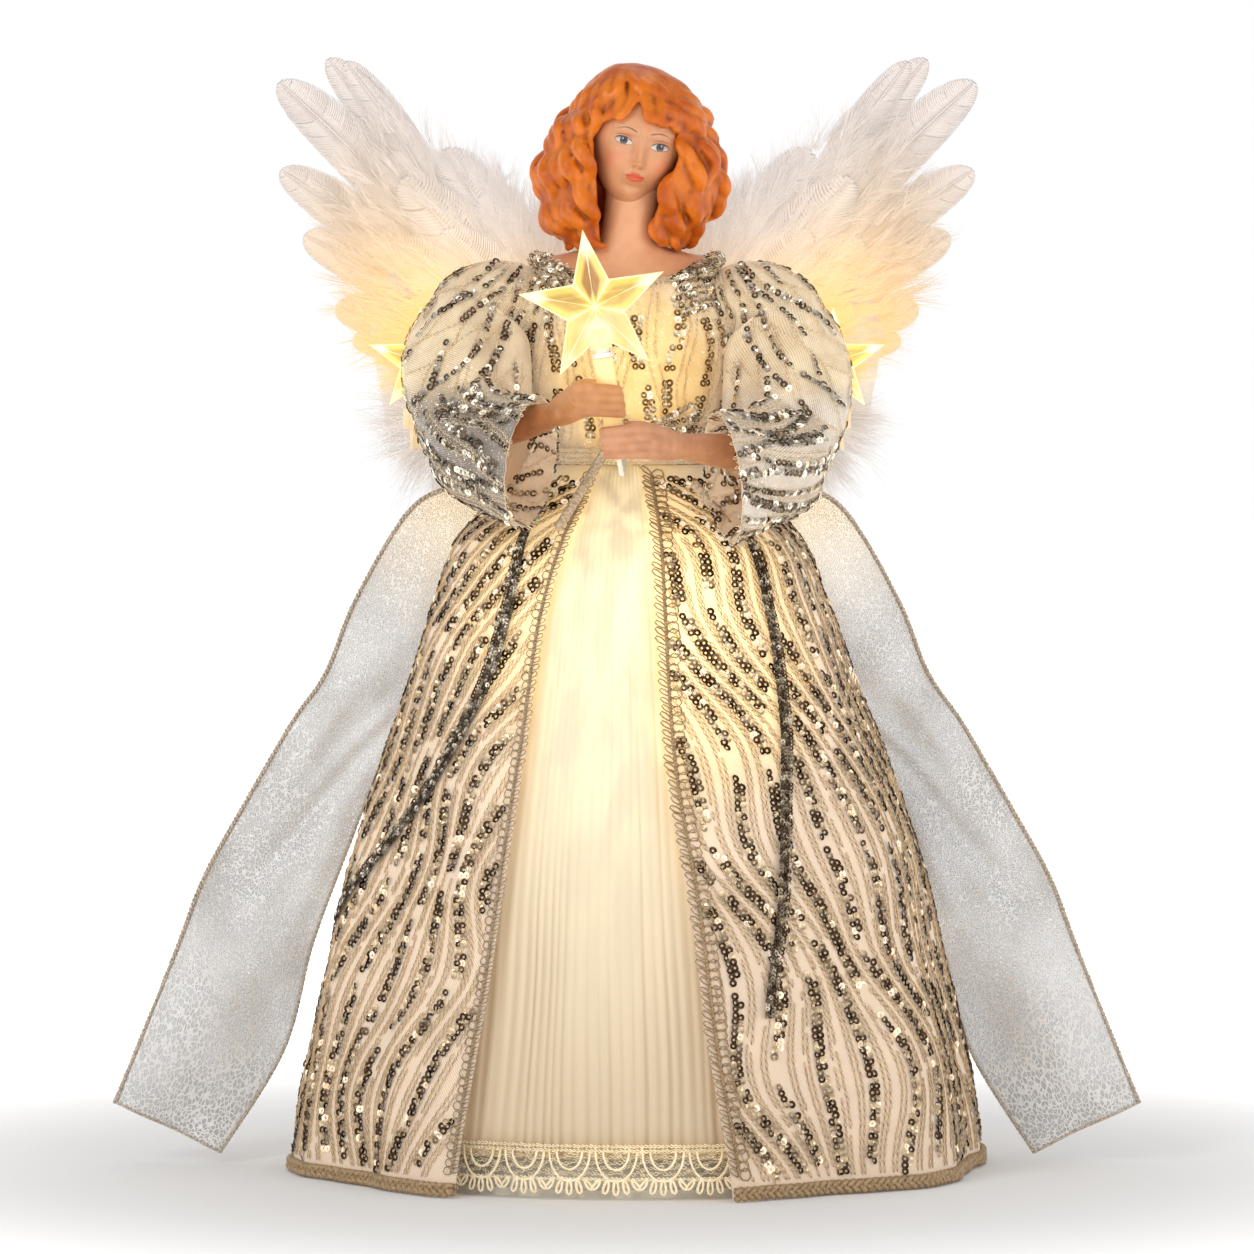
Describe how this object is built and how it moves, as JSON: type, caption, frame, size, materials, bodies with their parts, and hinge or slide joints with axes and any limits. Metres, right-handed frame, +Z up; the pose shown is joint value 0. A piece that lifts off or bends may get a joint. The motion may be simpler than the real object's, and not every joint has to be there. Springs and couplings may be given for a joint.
{
  "type": "angel tree topper",
  "caption": "Lit angel tree topper: doll bust and gown over a cone, feather wings, sheer ribbons and a star on a candle in both hands.",
  "frame": {"origin": "middle of the ring that the cone stands on, at the level of the branches or shelf that it stands on", "axes": "+Z up, the angel faces -Y, +X to the viewer's right"},
  "size_m": [0.3768, 0.2321, 0.406],
  "materials": {
    "cone_board": "matt rolled board, off-white",
    "skin": "moulded doll vinyl, satin, painted blush",
    "hair": "moulded curls, painted copper orange, semi-gloss",
    "arm_wire_steel": "plain drawn wire",
    "lamp_lead": "white flex insulation",
    "bodice_tulle": "cream tulle with silver glitter",
    "sequin_trim": "pewter and bronze ring sequins",
    "robe_tulle": "cream twill tulle with bronze sequin rows and gold chain stitch",
    "metal_braid": "champagne metallic gimp braid",
    "ivory_satin": "pleated ivory satin, lit from inside",
    "ivory_lace": "scalloped lace with beads",
    "white_plastic": "moulded, white",
    "ribbon_mesh": "sheer silver mesh with braided edges",
    "candle_plastic": "translucent white tube",
    "lamp_glass": "clear, emissive warm white",
    "star_plastic": "clear amber moulding, faceted, emissive",
    "wing_card": "matt card under the feathers",
    "feather": "white goose feather and marabou down"
  },
  "bodies": {
    "root": {"tree_cone": "cone_board", "torso_core": "cone_board", "bust": "skin", "hair": "hair", "arm_wire": "arm_wire_steel", "light_string": "lamp_lead", "bodice": "bodice_tulle", "neckline_trim": "sequin_trim", "waistband": "bodice_tulle", "robe_skirt": "robe_tulle", "robe_hem_braid": "metal_braid", "pleated_underskirt": "ivory_satin", "lace_hem": "ivory_lace", "wing_bracket": "white_plastic", "ribbon_knot": "ribbon_mesh", "left_front_braid": "metal_braid", "left_sash_tail": "sequin_trim", "left_ribbon": "ribbon_mesh", "left_sleeve": "robe_tulle", "left_forearm": "skin", "right_front_braid": "metal_braid", "right_sash_tail": "sequin_trim", "right_ribbon": "ribbon_mesh", "right_sleeve": "robe_tulle", "right_forearm": "skin", "candle_tube": "candle_plastic", "star_socket": "white_plastic", "star_bulb": "lamp_glass", "left_side_socket": "white_plastic", "left_side_bulb": "lamp_glass", "right_side_socket": "white_plastic", "right_side_bulb": "lamp_glass", "skirt_socket_1": "white_plastic", "skirt_bulb_1": "lamp_glass", "skirt_socket_2": "white_plastic", "skirt_bulb_2": "lamp_glass", "skirt_socket_3": "white_plastic", "skirt_bulb_3": "lamp_glass", "skirt_socket_4": "white_plastic", "skirt_bulb_4": "lamp_glass"},
    "hand_star": {"hand_star": "star_plastic"},
    "left_side_star": {"left_side_star": "star_plastic"},
    "right_side_star": {"right_side_star": "star_plastic"},
    "left_wing": {"left_wing_card": "wing_card", "left_wing_down": "feather", "left_wing_tuft": "feather", "left_feather_1": "feather", "left_feather_2": "feather", "left_feather_3": "feather", "left_feather_4": "feather", "left_feather_5": "feather"},
    "right_wing": {"right_wing_card": "wing_card", "right_wing_down": "feather", "right_wing_tuft": "feather", "right_feather_1": "feather", "right_feather_2": "feather", "right_feather_3": "feather", "right_feather_4": "feather", "right_feather_5": "feather"}
  },
  "joints": [
    {"name": "hand_star_pull", "type": "slide", "parent": "root", "child": "hand_star", "axis": [-0.1564, 0, 0.9877], "range_m": [0, 0.02]},
    {"name": "left_side_star_pull", "type": "slide", "parent": "root", "child": "left_side_star", "axis": [0, 0, 1], "range_m": [0, 0.02]},
    {"name": "right_side_star_pull", "type": "slide", "parent": "root", "child": "right_side_star", "axis": [0, 0, 1], "range_m": [0, 0.02]},
    {"name": "left_wing_hinge", "type": "hinge", "parent": "root", "child": "left_wing", "pos_m": [-0.02, 0.0478, 0.3], "axis": [0, 0, 1], "range_deg": [-55, 0]},
    {"name": "right_wing_hinge", "type": "hinge", "parent": "root", "child": "right_wing", "pos_m": [0.02, 0.0478, 0.3], "axis": [0, 0, 1], "range_deg": [0, 55]}
  ]
}
